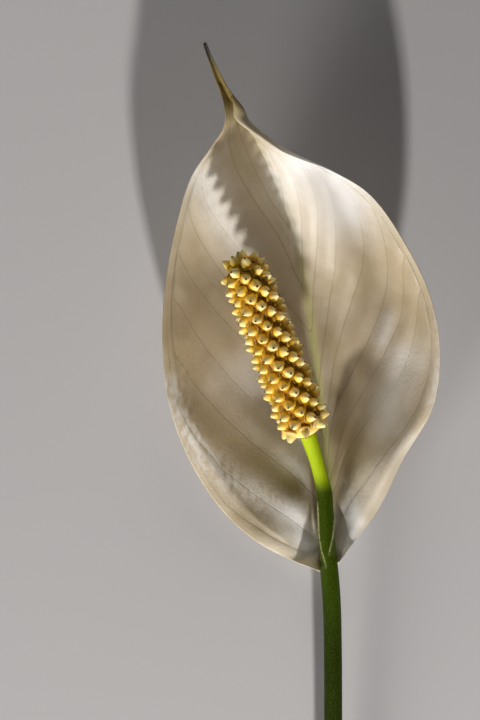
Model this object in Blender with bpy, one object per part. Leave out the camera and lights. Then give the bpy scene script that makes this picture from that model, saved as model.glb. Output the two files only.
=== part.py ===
"""A cut peace lily flower lying on its back: green stem, white spathe and yellow spadix.

Lengths are in millimetres and are turned into metres by MM. +Y runs from the
cut end of the stem to the tip of the spathe, +X to the side on which the spathe
is cupped most, and +Z up out of the open face of the spathe. The pieces are
drawn round the point where the spathe clasps the stem, and JOINT puts that point
where the origin comes to lie under the middle of the whole flower.
"""
import math
import random

import bmesh
import bpy
from mathutils import Matrix, Vector

MM = 0.001

# Where the spathe clasps the stem
JOINT = Vector((6.6, -1.1, 0.0))

# Gap between two pieces that touch
GAP = 0.35

# Stem: centre x, y, z and radius, from the cut end up to the spadix
STEM = (
    (-0.6, -117.5, 2.25, 2.25),
    (0.6, -90.0, 3.60, 2.20),
    (1.2, -60.0, 5.05, 2.15),
    (1.3, -37.5, 6.20, 2.12),
    (1.2, -20.9, 7.10, 2.12),
    (0.9, -10.0, 7.75, 2.15),
    (0.3, -2.0, 8.30, 2.15),
    (-0.3, 5.0, 8.80, 2.02),
    (-0.6, 11.5, 9.20, 1.92),
    (-0.9, 16.5, 9.80, 1.80),
    (-1.9, 20.6, 10.80, 1.66),
    (-3.2, 25.3, 12.15, 1.72),
    (-4.87, 30.14, 13.86, 1.92),
)
STEM_SIDES = 14
STEM_RINGS = 30

# Spadix: ends of its axis, core radii and the spiral of its florets
SPADIX_BASE = Vector((-5.0, 30.5, 14.0))
SPADIX_TIP = Vector((-20.6, 69.9, 29.8))
CORE_RADIUS_BASE = 4.35
CORE_RADIUS_TOP = 3.75
CORE_DOME = 3.6
CORE_SIDES = 14
FLORET_TURN = math.radians(48.4)
FLORET_TURN_DOME = math.radians(137.5)
FLORET_RISE = 0.335
FLORET_START = 1.55
FLORET_HEIGHT = 2.25
FLORET_SHOULDER = 0.95
FLORET_ROOT = 0.7
FLORET_RADIUS = 1.18
FLORET_TIP_RADIUS = 0.34
FLORET_SIDES = 5

# Spathe: outline and height of its back face, with its middle line and both edges from the
# base to the tip
BLADE = 0.7
MIDRIB = (
    (0.3, -1.9, 4.90),
    (0.3, 4.7, 4.70),
    (0.4, 13.2, 4.30),
    (0.2, 23.2, 3.10),
    (-1.4, 35.8, 1.40),
    (-2.8, 48.4, 1.15),
    (-4.4, 60.8, 1.25),
    (-6.4, 71.7, 2.70),
    (-9.1, 80.8, 5.50),
    (-12.2, 88.7, 10.00),
    (-15.6, 96.0, 15.00),
    (-19.1, 101.5, 19.20),
    (-21.5, 105.4, 22.00),
    (-24.8, 110.0, 24.50),
    (-27.1, 115.5, 26.60),
    (-28.6, 119.4, 28.00),
)
LEFT_EDGE = (
    (-2.6, -1.8, 8.40),
    (-8.5, 0.3, 6.20),
    (-17.3, 5.2, 7.00),
    (-25.7, 13.3, 8.20),
    (-33.1, 25.4, 10.60),
    (-37.5, 38.6, 13.40),
    (-38.8, 52.1, 14.80),
    (-38.0, 65.8, 16.20),
    (-35.6, 78.2, 18.00),
    (-32.3, 89.0, 20.30),
    (-27.7, 95.9, 22.40),
    (-24.7, 100.6, 23.80),
    (-24.4, 104.7, 24.80),
    (-25.6, 109.5, 25.00),
    (-27.6, 115.2, 26.75),
    (-29.0, 119.2, 28.05),
)
RIGHT_EDGE = (
    (2.9, 0.5, 8.40),
    (6.4, 5.0, 7.20),
    (12.0, 13.0, 7.80),
    (17.1, 23.9, 10.80),
    (24.0, 36.3, 15.00),
    (25.6, 49.0, 18.00),
    (23.3, 61.8, 20.80),
    (17.5, 73.7, 23.00),
    (9.7, 84.6, 24.40),
    (0.6, 90.5, 24.00),
    (-9.4, 95.1, 23.40),
    (-17.6, 101.2, 22.60),
    (-20.0, 105.3, 23.40),
    (-23.8, 110.5, 25.00),
    (-26.6, 115.7, 26.75),
    (-28.3, 119.6, 28.05),
)
# Crease beside the midrib in mm of drop, and how late each half turns up
CREASE = (0.0, 0.0, 0.3, 0.8, 1.2, 1.4, 1.2, 0.9, 0.6, 0.2, 0.0, 0.0, 0.0, 0.0, 0.0, 0.0)
LEFT_BOWL = (1.3, 1.25, 1.25, 1.45, 1.9, 2.4, 2.4, 2.2, 1.7, 1.4, 1.3, 1.3, 1.3, 1.3, 1.2, 1.0)
RIGHT_BOWL = (1.3, 1.1, 1.0, 1.15, 1.7, 2.3, 2.1, 1.5, 1.15, 1.0, 1.0, 1.0, 1.1, 1.3, 1.2, 1.0)
# Strip along each edge: its width and the slope in degrees that it ends with, where
# 90 stands straight up, 180 is folded back level over the open face and 0 is level
LEFT_STRIP = (2.6, 3.6, 5.0, 6.0, 6.0, 4.6, 3.6, 3.0, 2.8, 2.4, 2.2, 2.0, 1.8, 0.9, 0.4, 0.2)
LEFT_END = (120, 0, -14, -16, -8, 12, 38, 52, 62, 75, 88, 100, 95, 40, 15, 8)
RIGHT_STRIP = (2.6, 3.2, 4.4, 4.0, 3.4, 3.0, 3.0, 3.0, 3.2, 3.6, 3.9, 4.8, 3.6, 1.4, 0.4, 0.2)
RIGHT_END = (130, -10, -40, -32, 4, 44, 68, 68, 76, 105, 195, 210, 185, 50, 15, 8)
# Shallow hollows and, with a depth below zero, swellings of the blade: middle x and y, half
# width, half length, turn in degrees from +Y towards +X, and depth. The flower lies on the
# undersides of the first two
HOLLOWS = (
    (-14.2, 42.3, 6.2, 9.5, -12.0, 3.00),
    (5.0, 43.0, 4.6, 10.0, 8.0, 2.10),
    (11.0, 22.0, 6.0, 9.0, 20.0, -1.60),
    (-30.5, 31.0, 4.0, 9.0, -30.0, -1.20),
    (-18.5, 18.5, 4.0, 9.0, -66.0, -1.20),
    (-31.0, 53.0, 8.0, 9.0, 0.0, -1.60),
    (-30.0, 71.5, 8.0, 8.0, 0.0, 1.80),
)
ROWS_PER_STEP = (5, 3, 3, 2, 2, 2, 2, 3, 3, 3, 4, 4, 4, 3, 2)
LEFT_STRIP_COLUMNS = 3
HALF_COLUMNS = 8
RIGHT_STRIP_COLUMNS = 7
WIDTH_LEAST = 0.2


def between(stations, at):
    """Smooth value between stations that lie one apart, where at counts stations."""
    last = len(stations) - 1
    first = min(int(at), last - 1)
    part = at - first
    near = [stations[min(max(first + step, 0), last)] for step in (-1, 0, 1, 2)]
    start, end = near[1], near[2]
    slope_start = (near[2] - near[0]) * (0.5 if first > 0 else 1.0)
    slope_end = (near[3] - near[1]) * (0.5 if first < last - 1 else 1.0)
    square, cube = part * part, part ** 3
    return (start * (2 * cube - 3 * square + 1) + slope_start * (cube - 2 * square + part)
            + end * (3 * square - 2 * cube) + slope_end * (cube - square))


def vectors(rows):
    return [Vector(row[:3]) for row in rows]


def stem_centre(at):
    return between(vectors(STEM), at)


def stem_radius(at):
    return between([row[3] for row in STEM], at)


def finish(name, colour, roughness):
    """Material with one colour and roughness."""
    material = bpy.data.materials.new(name)
    material.use_nodes = True
    shader = material.node_tree.nodes["Principled BSDF"]
    shader.inputs["Base Color"].default_value = (*colour, 1.0)
    shader.inputs["Roughness"].default_value = roughness
    shader.inputs["Metallic"].default_value = 0.0
    return material


def as_object(name, bm, material, smooth=True):
    """Object at the joint with the mesh in metres."""
    bmesh.ops.scale(bm, vec=(MM, MM, MM), verts=bm.verts)
    mesh = bpy.data.meshes.new(name)
    bm.to_mesh(mesh)
    bm.free()
    if smooth:
        mesh.shade_smooth()
        mesh.set_sharp_from_angle(angle=math.radians(50))
    mesh.materials.append(material)
    obj = bpy.data.objects.new(name, mesh)
    obj.location = JOINT * MM
    bpy.context.scene.collection.objects.link(obj)
    return obj


def ring_matrix(centre, along):
    """Frame with +Z along the given direction and +X kept level."""
    along = along.normalized()
    level = along.cross(Vector((0.0, 0.0, 1.0)))
    if level.length < 1e-6:
        level = Vector((1.0, 0.0, 0.0))
    level.normalize()
    up = along.cross(level)
    turn = Matrix((level, up, along)).transposed().to_4x4()
    return Matrix.Translation(centre) @ turn


def tube(bm, centres, radii, sides):
    """Closed tube through circles bridged one to the next."""
    edges = []
    for index, (centre, radius) in enumerate(zip(centres, radii)):
        before = centres[max(index - 1, 0)]
        after = centres[min(index + 1, len(centres) - 1)]
        matrix = ring_matrix(centre, after - before)
        ring = bmesh.ops.create_circle(bm, segments=sides, radius=radius, matrix=matrix)["verts"]
        loop = list({edge for vert in ring for edge in vert.link_edges})
        edges.append(loop)
    for lower, upper in zip(edges[:-1], edges[1:]):
        bmesh.ops.bridge_loops(bm, edges=lower + upper)
    bmesh.ops.contextual_create(bm, geom=edges[0])
    bmesh.ops.contextual_create(bm, geom=edges[-1])
    bmesh.ops.triangulate(bm, faces=bm.faces)
    bmesh.ops.recalc_face_normals(bm, faces=bm.faces)


def build_stem(material):
    """Flower stalk with the thinner neck that carries the spadix, grown as one piece."""
    bm = bmesh.new()
    stations = [(len(STEM) - 1) * ring / STEM_RINGS for ring in range(STEM_RINGS + 1)]
    tube(bm, [stem_centre(at) for at in stations], [stem_radius(at) for at in stations], STEM_SIDES)
    return as_object("stem", bm, material)


def arc(start, heading, turn, length, run):
    """Point on a circular arc in its upright plane, as distance out and up."""
    bend = turn * run / length
    if abs(bend) < 1e-4:
        return start[0] + run * math.cos(heading), start[1] + run * math.sin(heading)
    radius = run / bend
    out = start[0] + radius * (math.sin(heading + bend) - math.sin(heading))
    up = start[1] - radius * (math.cos(heading + bend) - math.cos(heading))
    return out, up


def half_section(at, side):
    """Sizes of one half of the spathe's section at a station.

    Returns the midrib point, the level direction out to the edge, the width and rise of
    the bowl, its crease, its power, and the strip's width, curl and heading.
    """
    edge = RIGHT_EDGE if side > 0 else LEFT_EDGE
    middle = between(vectors(MIDRIB), at)
    rim = between(vectors(edge), at)
    strip = between(RIGHT_STRIP if side > 0 else LEFT_STRIP, at)
    end = math.radians(between(RIGHT_END if side > 0 else LEFT_END, at))
    power = between(RIGHT_BOWL if side > 0 else LEFT_BOWL, at)
    crease = between(CREASE, at)
    out = (rim - middle).to_2d()
    reach_all = out.length
    out.normalize()
    rise = rim.z - middle.z
    width = max(reach_all - 0.5 * strip, WIDTH_LEAST)
    heading = 0.0
    curl = 0.0
    for _ in range(6):
        heading = math.atan2(power * (rise + crease) - crease, width)
        curl = end - heading
        runs = [arc((0.0, 0.0), heading, curl, strip, strip * step / 12)[0]
                + BLADE * math.sin(heading + curl * step / 12) for step in range(13)]
        width = max(0.5 * (width + reach_all - max(runs)), WIDTH_LEAST)
    return middle, out, width, rise, crease, power, strip, curl, heading


def hollow_depth(x, y):
    """How far the hollows and swellings lower the blade at a place."""
    drop = 0.0
    for middle_x, middle_y, width, length, turn, depth in HOLLOWS:
        turn = math.radians(turn)
        away_x, away_y = x - middle_x, y - middle_y
        along = away_x * math.sin(turn) + away_y * math.cos(turn)
        aside = away_x * math.cos(turn) - away_y * math.sin(turn)
        drop += depth * math.exp(-(aside / width) ** 2 - (along / length) ** 2)
    return drop


def blade_point(at, across):
    """Point on the open face of the spathe.

    across runs from -2 at the left edge over -1, where the strip starts, to 0 at the
    midrib, and on to 1 and 2 at the right.
    """
    side = 1 if across >= 0 else -1
    share = abs(across)
    middle, out, width, rise, crease, power, strip, curl, heading = half_section(at, side)
    if share <= 1.0:
        reach = width * share
        height = -crease * share + (rise + crease) * share ** power
    else:
        reach, height = arc((width, rise), heading, curl, strip, strip * (share - 1.0))
    x = middle.x + out.x * reach
    y = middle.y + out.y * reach
    return Vector((x, y, middle.z + BLADE + height - hollow_depth(x, y)))


def clear_of_stem(point):
    """Move a point on the open face of the spathe out until it clears the stem."""
    best = None
    steps = 60
    for step in range(steps + 1):
        at = 4.0 + 8.0 * step / steps
        away = point - stem_centre(at)
        need = stem_radius(at) + GAP + 0.12
        if best is None or away.length - need < best[0]:
            best = (away.length - need, away, need, at)
    short, away, need, at = best
    if short < 0.0:
        return stem_centre(at) + away.normalized() * need
    return point


def build_spathe(material):
    """White bract: one blade that clasps the stem, cups up and ends in a rolled tail."""
    stations = [0.0]
    for first, rows in enumerate(ROWS_PER_STEP):
        stations += [first + (row + 1) / rows for row in range(rows)]
    columns = [-2.0 + step / LEFT_STRIP_COLUMNS for step in range(LEFT_STRIP_COLUMNS)]
    columns += [-1.0 + step / HALF_COLUMNS for step in range(2 * HALF_COLUMNS)]
    columns += [1.0 + step / RIGHT_STRIP_COLUMNS for step in range(RIGHT_STRIP_COLUMNS + 1)]
    bm = bmesh.new()
    grid = bmesh.ops.create_grid(bm, x_segments=len(columns) - 1, y_segments=len(stations) - 1,
                                 size=1.0)["verts"]
    for vert in grid:
        column = round((vert.co.x + 1.0) / 2.0 * (len(columns) - 1))
        row = round((vert.co.y + 1.0) / 2.0 * (len(stations) - 1))
        point = clear_of_stem(blade_point(stations[row], columns[column]))
        point.z = max(point.z, BLADE)
        vert.co = point
    bmesh.ops.triangulate(bm, faces=bm.faces)
    obj = as_object("spathe", bm, material)
    shell = obj.modifiers.new("thickness", "SOLIDIFY")
    shell.thickness = BLADE * MM
    shell.offset = -1.0
    shell.use_even_offset = True
    return obj


def floret_places(length):
    """Distance along the axis, radius, angle and tilt of each floret on the core."""
    places = []
    run = FLORET_START
    angle = 0.4
    flank = length - CORE_DOME
    while run < flank:
        share = run / length
        radius = CORE_RADIUS_BASE + (CORE_RADIUS_TOP - CORE_RADIUS_BASE) * share
        places.append((run, radius, angle, 0.0))
        run += FLORET_RISE
        angle += FLORET_TURN
    tilt = 0.10
    while tilt < 1.5:
        radius = CORE_RADIUS_TOP * math.cos(tilt)
        places.append((flank + CORE_DOME * math.sin(tilt), radius, angle, tilt))
        tilt += 0.095 / max(math.cos(tilt), 0.25)
        angle += FLORET_TURN_DOME
    return places


def build_spadix(material):
    """Yellow spike: a blunt core with cone-shaped florets in a spiral, fused into one body."""
    axis = SPADIX_TIP - SPADIX_BASE
    length = axis.length
    frame = ring_matrix(SPADIX_BASE, axis)
    bm = bmesh.new()
    runs = [0.0, 0.8, 2.4] + [length * part / 6 for part in range(1, 6)]
    radii = [2.6, 3.7] + [CORE_RADIUS_BASE + (CORE_RADIUS_TOP - CORE_RADIUS_BASE) * run / length
                          for run in runs[2:]]
    runs += [length - CORE_DOME + CORE_DOME * math.sin(tilt) for tilt in (0.55, 0.95, 1.35)]
    radii += [CORE_RADIUS_TOP * math.cos(tilt) for tilt in (0.55, 0.95, 1.35)]
    tube(bm, [frame @ Vector((0.0, 0.0, run)) for run in runs], radii, CORE_SIDES)
    spadix = as_object("spadix", bm, material, smooth=False)

    florets = bpy.data.collections.new("florets")
    bpy.context.scene.collection.children.link(florets)
    chance = random.Random(7)
    for index, (run, radius, angle, tilt) in enumerate(floret_places(length)):
        outward = Vector((math.cos(angle) * math.cos(tilt), math.sin(angle) * math.cos(tilt),
                          math.sin(tilt)))
        foot = Vector((math.cos(angle) * radius, math.sin(angle) * radius, run))
        lean = Vector((chance.uniform(-0.06, 0.06), chance.uniform(-0.06, 0.06), 0.05))
        size = chance.uniform(0.94, 1.06)
        bm = bmesh.new()
        base = ring_matrix(frame @ foot, frame.to_3x3() @ (outward + lean))
        centres = [base @ Vector((0.0, 0.0, height * size))
                   for height in (-FLORET_ROOT, FLORET_SHOULDER, FLORET_HEIGHT)]
        radii = [size * value for value in (FLORET_RADIUS, FLORET_RADIUS * 0.94, FLORET_TIP_RADIUS)]
        tube(bm, centres, radii, FLORET_SIDES)
        floret = as_object("floret_%03d" % index, bm, material, smooth=False)
        bpy.context.scene.collection.objects.unlink(floret)
        florets.objects.link(floret)

    union = spadix.modifiers.new("florets", "BOOLEAN")
    union.operation = "UNION"
    union.operand_type = "COLLECTION"
    union.collection = florets
    union.solver = "EXACT"
    graph = bpy.context.evaluated_depsgraph_get()
    fused = bpy.data.meshes.new_from_object(spadix.evaluated_get(graph))
    spadix.modifiers.clear()
    spadix.data = fused
    for floret in list(florets.objects):
        bpy.data.objects.remove(floret)
    bpy.data.collections.remove(florets)
    spadix.data.shade_smooth()
    spadix.data.set_sharp_from_angle(angle=math.radians(50))
    return spadix


def main():
    for obj in list(bpy.data.objects):
        bpy.data.objects.remove(obj)
    build_stem(finish("stem", (0.055, 0.120, 0.012), 0.42))
    build_spathe(finish("spathe", (0.800, 0.740, 0.600), 0.45))
    build_spadix(finish("spadix", (0.720, 0.470, 0.090), 0.50))


if __name__ == "__main__":
    main()
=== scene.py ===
"""Looks of a cut peace lily flower that lies on its back: spathe, spadix and stalk.

Lengths are in millimetres round the place where the spathe clasps the stalk. JOINT moves
them into the part's own frame, and MM turns them into metres.
"""
import logging
import math
import random
from dataclasses import dataclass, field
from enum import Enum
from typing import Callable, Sequence

import bmesh
import bpy
import numpy as np
from mathutils import Matrix, Vector, noise


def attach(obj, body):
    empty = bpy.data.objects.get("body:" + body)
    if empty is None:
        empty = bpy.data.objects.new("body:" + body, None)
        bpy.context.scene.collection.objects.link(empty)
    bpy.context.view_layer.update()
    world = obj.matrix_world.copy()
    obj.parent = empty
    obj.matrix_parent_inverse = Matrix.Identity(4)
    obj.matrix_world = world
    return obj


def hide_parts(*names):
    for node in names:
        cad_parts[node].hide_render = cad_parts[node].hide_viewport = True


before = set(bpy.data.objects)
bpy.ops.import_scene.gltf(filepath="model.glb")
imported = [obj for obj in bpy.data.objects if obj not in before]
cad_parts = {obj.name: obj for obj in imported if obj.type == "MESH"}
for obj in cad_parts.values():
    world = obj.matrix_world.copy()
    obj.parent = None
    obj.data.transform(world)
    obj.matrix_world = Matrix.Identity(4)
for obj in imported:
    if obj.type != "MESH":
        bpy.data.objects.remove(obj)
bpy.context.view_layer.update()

MM = 0.001
JOINT = Vector((6.6, -1.1, 0.0))
LOG = logging.getLogger("flower")
WHITE = (1.0, 1.0, 1.0)
# Rounds in which a half section is fitted to its edge, and the steps along its strip
FIT_ROUNDS = 6
ARC_STEPS = 12

Row = Sequence[float]
Table = Sequence[Row]
# Half width, strength and line of a soft streak on the blade
Streak = tuple[float, float, Table]
Colour = tuple[float, float, float]
Socket = bpy.types.NodeSocket
Material = bpy.types.Material


class Blend(Enum):
    """Ways in which one colour is laid over another."""

    OVER = "MIX"
    TIMES = "MULTIPLY"


class Side(Enum):
    """The two halves of the spathe, as signs of the share across."""

    LEFT = -1
    RIGHT = 1


def between(stations: Sequence[float], at: float) -> float:
    """Smooth value between stations that lie one apart.

    Args:
        stations: One value for each.
        at: Place to read, in stations.

    Returns:
        The value of a smooth curve.
    """
    last = len(stations) - 1
    first = min(int(at), last - 1)
    part = at - first
    near = [stations[min(max(first + step, 0), last)] for step in (-1, 0, 1, 2)]
    slope_start = (near[2] - near[0]) * (0.5 if first > 0 else 1.0)
    slope_end = (near[3] - near[1]) * (0.5 if first < last - 1 else 1.0)
    square, cube = part * part, part ** 3
    return (near[1] * (2 * cube - 3 * square + 1) + slope_start * (cube - 2 * square + part)
            + near[2] * (3 * square - 2 * cube) + slope_end * (cube - square))


def place_between(rows: Table, at: float) -> Vector:
    """Point of a smooth curve through the first three values of each row."""
    return Vector([between([row[axis] for row in rows], at) for axis in range(3)])


def smooth_step(low: float, high: float, value: float) -> float:
    """Rises smoothly from 0 at low to 1 at high."""
    share = min(max((value - low) / (high - low), 0.0), 1.0)
    return share * share * (3.0 - 2.0 * share)


def ring_matrix(centre: Vector, along: Vector) -> Matrix:
    """Frame with +Z along a direction and +X kept level.

    Args:
        centre: Its origin.
        along: Direction of its +Z.

    Returns:
        The frame.
    """
    along = along.normalized()
    level = along.cross(Vector((0.0, 0.0, 1.0)))
    if level.length < 1e-6:
        level = Vector((1.0, 0.0, 0.0))
    level.normalize()
    turn = Matrix((level, along.cross(level), along)).transposed().to_4x4()
    return Matrix.Translation(centre) @ turn


def placed(name: str, data: bpy.types.ID) -> bpy.types.Object:
    """Puts data into the scene.

    Args:
        name: Name of the object.
        data: Its mesh, lamp or camera.

    Returns:
        The object.
    """
    made = bpy.data.objects.new(name, data)
    bpy.context.scene.collection.objects.link(made)
    return made


def finished_piece(name: str, bm: bmesh.types.BMesh, material: Material,
                   slot: str, *nodes: str) -> bpy.types.Object:
    """Makes an object of a mesh and lets it stand for CAD nodes.

    Args:
        name: Name of the piece.
        bm: Mesh in millimetres round the joint, which is freed.
        material: Its finish.
        slot: Material slot of the record; not used.
        nodes: CAD nodes that it stands for.

    Returns:
        The object, at the origin.
    """
    bmesh.ops.translate(bm, vec=JOINT, verts=bm.verts)
    bmesh.ops.scale(bm, vec=(MM, MM, MM), verts=bm.verts)
    mesh = bpy.data.meshes.new(name)
    bm.to_mesh(mesh)
    bm.free()
    mesh.shade_smooth()
    mesh.materials.append(material)
    piece = placed(name, mesh)
    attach(piece, "root")
    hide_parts(*nodes)
    return piece


def fine_stations(steps: Sequence[int]) -> list[float]:
    """Stations from 0 on, with a number of steps between each one and the next."""
    return [0.0] + [first + (step + 1) / count for first, count in enumerate(steps)
                    for step in range(count)]


def ring_edges(ring: list[bmesh.types.BMVert]) -> list[bmesh.types.BMEdge]:
    """Edges of a ring of points."""
    return list({edge for vert in ring for edge in vert.link_edges})


def close_tube(bm: bmesh.types.BMesh,
               loops: list[list[bmesh.types.BMEdge]]) -> list[list[bmesh.types.BMFace]]:
    """Bridges rings into a tube and closes its ends.

    Args:
        bm: Mesh with the rings.
        loops: Edges of each ring.

    Returns:
        The faces of the first and of the last end.
    """
    for lower, upper in zip(loops[:-1], loops[1:]):
        bmesh.ops.bridge_loops(bm, edges=lower + upper)
    return [bmesh.ops.contextual_create(bm, geom=loops[end])["faces"] for end in (0, -1)]


def keep_values(piece: bpy.types.Object, values: dict[str, Sequence[float]]) -> None:
    """Stores numbers on the points of a piece.

    Args:
        piece: The piece.
        values: One number for each point under each name.
    """
    for name, numbers in values.items():
        layer = piece.data.attributes.new(name, "FLOAT", "POINT")
        layer.data.foreach_set("value", np.asarray(numbers, np.float32))


class Shader:
    """A material's node tree and its paint, with one short method for each node in use."""

    def __init__(self, name: str, paint: Colour) -> None:
        """Starts a material with a principled shader.

        Args:
            name: Name of the material.
            paint: Its first colour.
        """
        self.material = bpy.data.materials.new(name)
        self.material.use_nodes = True
        self.tree = self.material.node_tree
        self.surface = self.tree.nodes["Principled BSDF"]
        self.paint: object = paint

    def feed(self, socket: Socket, value: object) -> None:
        """Links a socket or sets it.

        Args:
            socket: An input.
            value: Output, number or colour for it.
        """
        if isinstance(value, Socket):
            self.tree.links.new(value, socket)
        elif isinstance(value, tuple) and len(value) == 3 and len(socket.default_value) == 4:
            socket.default_value = (*value, 1.0)
        else:
            socket.default_value = value

    def node(self, kind: str, inputs: dict[int | str, object],
             **settings: object) -> bpy.types.bpy_prop_collection:
        """Adds a node.

        Args:
            kind: Its type.
            inputs: What is fed to each input, by number or name.
            settings: Its own settings.

        Returns:
            Its outputs.
        """
        made = self.tree.nodes.new(kind)
        for name, value in settings.items():
            setattr(made, name, value)
        for key, value in inputs.items():
            self.feed(made.inputs[key], value)
        return made.outputs

    def attribute(self, name: str) -> Socket:
        """Number stored on the piece's points."""
        return self.node("ShaderNodeAttribute", {}, attribute_name=name)["Fac"]

    def places(self) -> Socket:
        """Object coordinates, in metres."""
        return self.node("ShaderNodeTexCoord", {})["Object"]

    def math(self, operation: str, first: object, second: object = 0.0) -> Socket:
        """Result of a Math node on one or two numbers or sockets."""
        return self.node("ShaderNodeMath", {0: first, 1: second}, operation=operation)[0]

    def times(self, first: object, second: object) -> Socket:
        """Product of two numbers or sockets."""
        return self.math("MULTIPLY", first, second)

    def ramp(self, value: object, low: float, high: float, to_low: float = 0.0,
             to_high: float = 1.0) -> Socket:
        """Smooth change from to_low to to_high as a value goes from low to high."""
        ends = dict(enumerate((value, low, high, to_low, to_high)))
        return self.node("ShaderNodeMapRange", ends, interpolation_type="SMOOTHSTEP")[0]

    def noise(self, size: float, detail: float = 2.0, stretch: Row | None = None) -> Socket:
        """Soft noise from 0 to 1.

        Args:
            size: Size of its blotches in millimetres.
            detail: Octaves of finer noise.
            stretch: How much longer they are along X, Y and Z.

        Returns:
            The noise.
        """
        source = self.places()
        if stretch:
            scale = tuple(1.0 / value for value in stretch)
            source = self.node("ShaderNodeMapping", {"Vector": source, "Scale": scale})[0]
        inputs = {"Vector": source, "Scale": 1.0 / (size * MM), "Detail": detail}
        return self.node("ShaderNodeTexNoise", inputs)[0]

    def cells(self, size: float) -> Socket:
        """Distance from the middle of the nearest of Voronoi cells of a size in millimetres."""
        inputs = {"Vector": self.places(), "Scale": 1.0 / (size * MM)}
        return self.node("ShaderNodeTexVoronoi", inputs)["Distance"]

    def mix(self, share: object, under: object, over: object, blend: Blend = Blend.OVER) -> Socket:
        """One colour laid over another by a share from 0 to 1."""
        return self.node("ShaderNodeMix", {0: share, 6: under, 7: over}, data_type="RGBA",
                         blend_type=blend.value)[2]

    def lay(self, share: object, over: object) -> None:
        """Lays a colour over the paint by a share from 0 to 1."""
        self.paint = self.mix(share, self.paint, over)

    def mottle(self, share: float, pattern: object, dark: Colour) -> None:
        """Darkens the paint where a pattern is low."""
        tone = self.mix(pattern, dark, WHITE)
        self.paint = self.mix(share, self.paint, tone, Blend.TIMES)

    def bump(self, height: object, depth: float, strength: float = 1.0) -> None:
        """Raises the surface by a height from 0 to 1 times a depth in millimetres."""
        inputs = {"Height": height, "Distance": depth * MM, "Strength": strength}
        self.feed(self.surface.inputs["Normal"], self.node("ShaderNodeBump", inputs)[0])

    def finish(self, roughness: object, **settings: object) -> Material:
        """Feeds the principled shader with the paint.

        Args:
            roughness: Its roughness.
            settings: Other inputs, with underscores in their names.

        Returns:
            The finished material.
        """
        self.feed(self.surface.inputs["Base Color"], self.paint)
        self.feed(self.surface.inputs["Roughness"], roughness)
        for name, value in settings.items():
            self.surface.inputs[name.replace("_", " ")].default_value = value
        return self.material


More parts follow.
